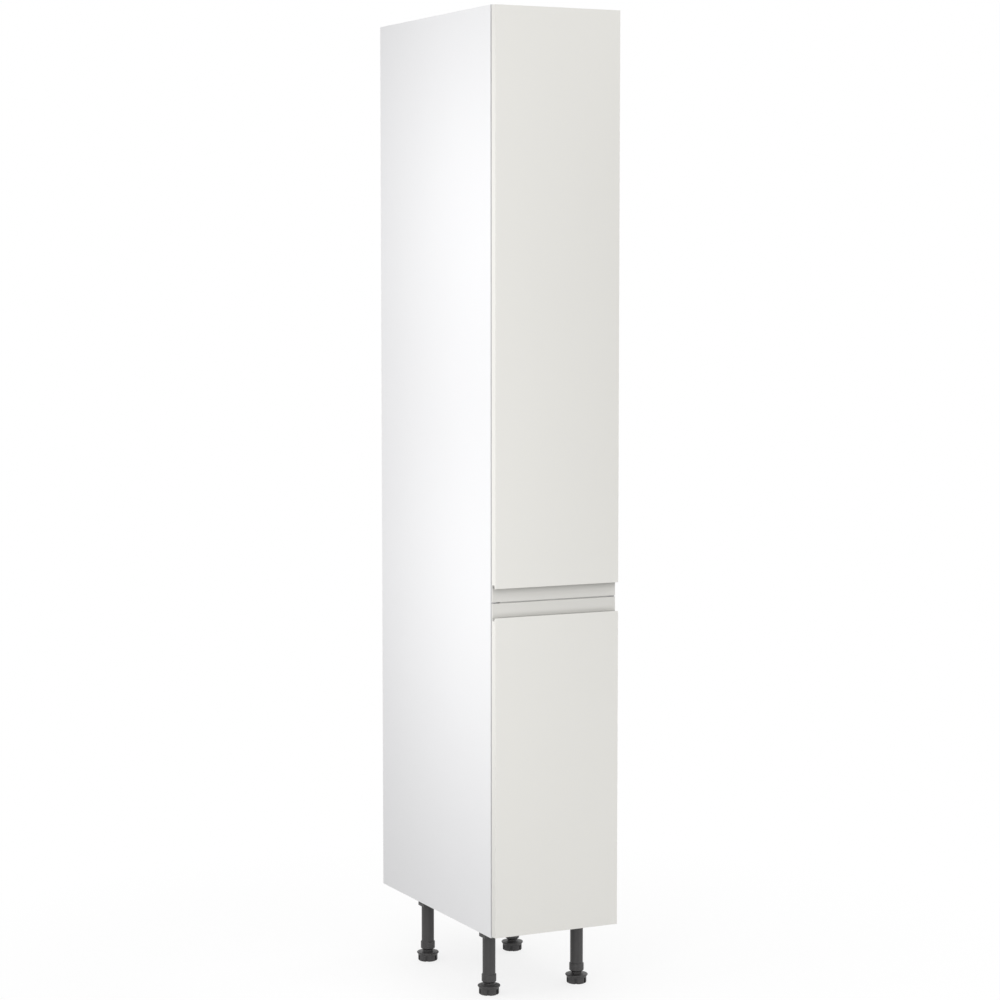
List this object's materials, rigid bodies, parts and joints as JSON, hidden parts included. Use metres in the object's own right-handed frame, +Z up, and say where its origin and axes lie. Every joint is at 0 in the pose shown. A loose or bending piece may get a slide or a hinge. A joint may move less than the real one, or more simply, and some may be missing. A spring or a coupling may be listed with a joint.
{
  "type": "pull-out pantry cabinet",
  "caption": "Tall narrow kitchen cabinet on adjustable legs; two handleless fronts roll out with a full-height frame of wire baskets.",
  "frame": {"origin": "on the floor, below the middle of the whole cabinet with its fronts", "axes": "+X to the right seen from the front, -Y towards the front, +Z up"},
  "size_m": [0.3, 0.598, 2.14],
  "materials": {
    "carcass_board": "white melamine-faced chipboard, fine satin",
    "back_board": "white coated fibreboard",
    "front_lacquer": "off-white matt lacquer on fibreboard",
    "beech": "fluted beech, raw",
    "leg_plastic": "dark grey moulded plastic",
    "zinc_steel": "bright zinc plate",
    "pale_steel": "pale grey coated steel sheet",
    "bolt_steel": "zinc plated fasteners",
    "ball_steel": "greased steel balls and strip",
    "frame_paint": "silver-grey powder coat",
    "chrome_wire": "polished chrome",
    "damper_plastic": "grey moulded plastic",
    "white_nylon": "natural nylon"
  },
  "bodies": {
    "carcass": {"side_panel_left": "carcass_board", "side_panel_right": "carcass_board", "bottom_panel": "carcass_board", "top_panel": "carcass_board", "back_panel": "back_board", "rear_rail_top": "carcass_board", "rear_rail_bottom": "carcass_board", "cam_locks": "bolt_steel", "cam_bolts": "bolt_steel", "wood_dowels": "beech", "leg_screws": "bolt_steel", "runner_fixed_rail": "zinc_steel", "runner_screws": "bolt_steel", "damper_body": "damper_plastic", "damper_rod": "white_nylon", "top_guide_rail": "zinc_steel", "top_rail_screws": "bolt_steel", "leg_socket_front_left": "leg_plastic", "leg_column_front_left": "leg_plastic", "leg_socket_front_right": "leg_plastic", "leg_column_front_right": "leg_plastic", "leg_socket_rear_left": "leg_plastic", "leg_column_rear_left": "leg_plastic", "leg_socket_rear_right": "leg_plastic", "leg_column_rear_right": "leg_plastic"},
    "pull_out": {"runner_inner_rail": "zinc_steel", "striker_plate": "zinc_steel", "guide_carriage": "zinc_steel", "guide_axles": "bolt_steel", "upright_front": "frame_paint", "upright_rear": "frame_paint", "bottom_bar": "frame_paint", "top_bar": "frame_paint", "frame_bolts": "bolt_steel", "frame_nuts": "bolt_steel", "basket_1": "chrome_wire", "basket_2": "chrome_wire", "basket_3": "chrome_wire", "basket_4": "chrome_wire", "basket_5": "chrome_wire", "basket_hangers": "frame_paint", "hanger_bolts": "bolt_steel", "front_upper": "front_lacquer", "front_lower": "front_lacquer", "front_bracket_1": "zinc_steel", "front_bracket_2": "zinc_steel", "front_bracket_3": "zinc_steel", "front_bracket_4": "zinc_steel", "front_bracket_5": "zinc_steel", "front_link_plate": "pale_steel", "bracket_screws": "bolt_steel"},
    "middle_rail": {"runner_middle_rail": "zinc_steel"},
    "outer_cage": {"ball_cage_outer": "ball_steel"},
    "inner_cage": {"ball_cage_inner": "ball_steel"},
    "front_roller": {"guide_roller_front": "white_nylon"},
    "rear_roller": {"guide_roller_rear": "white_nylon"},
    "foot_front_left": {"leg_foot_front_left": "leg_plastic"},
    "foot_front_right": {"leg_foot_front_right": "leg_plastic"},
    "foot_rear_left": {"leg_foot_rear_left": "leg_plastic"},
    "foot_rear_right": {"leg_foot_rear_right": "leg_plastic"}
  },
  "joints": [
    {"name": "pull_out_slide", "type": "slide", "parent": "carcass", "child": "pull_out", "axis": [0, -1, 0], "range_m": [0, 0.48]},
    {"name": "middle_rail_slide", "type": "slide", "parent": "carcass", "child": "middle_rail", "axis": [0, -1, 0], "range_m": [0, 0.24]},
    {"name": "outer_cage_slide", "type": "slide", "parent": "carcass", "child": "outer_cage", "axis": [0, -1, 0], "range_m": [0, 0.12]},
    {"name": "inner_cage_slide", "type": "slide", "parent": "carcass", "child": "inner_cage", "axis": [0, -1, 0], "range_m": [0, 0.36]},
    {"name": "front_roller_spin", "type": "hinge", "parent": "pull_out", "child": "front_roller", "pos_m": [0, 0.222, 2.109], "axis": [0, 0, 1], "continuous": true},
    {"name": "rear_roller_spin", "type": "hinge", "parent": "pull_out", "child": "rear_roller", "pos_m": [0, 0.256, 2.109], "axis": [0, 0, 1], "continuous": true},
    {"name": "foot_front_left_turn", "type": "hinge", "parent": "carcass", "child": "foot_front_left", "pos_m": [-0.1086, -0.1847, 0], "axis": [0, 0, 1], "continuous": true},
    {"name": "foot_front_right_turn", "type": "hinge", "parent": "carcass", "child": "foot_front_right", "pos_m": [0.1086, -0.1847, 0], "axis": [0, 0, 1], "continuous": true},
    {"name": "foot_rear_left_turn", "type": "hinge", "parent": "carcass", "child": "foot_rear_left", "pos_m": [-0.1086, 0.1387, 0], "axis": [0, 0, 1], "continuous": true},
    {"name": "foot_rear_right_turn", "type": "hinge", "parent": "carcass", "child": "foot_rear_right", "pos_m": [0.1086, 0.1387, 0], "axis": [0, 0, 1], "continuous": true}
  ],
  "couplings": [
    {"joint": "middle_rail_slide", "follows": "pull_out_slide", "ratio": 0.5},
    {"joint": "outer_cage_slide", "follows": "pull_out_slide", "ratio": 0.25},
    {"joint": "inner_cage_slide", "follows": "pull_out_slide", "ratio": 0.75}
  ]
}
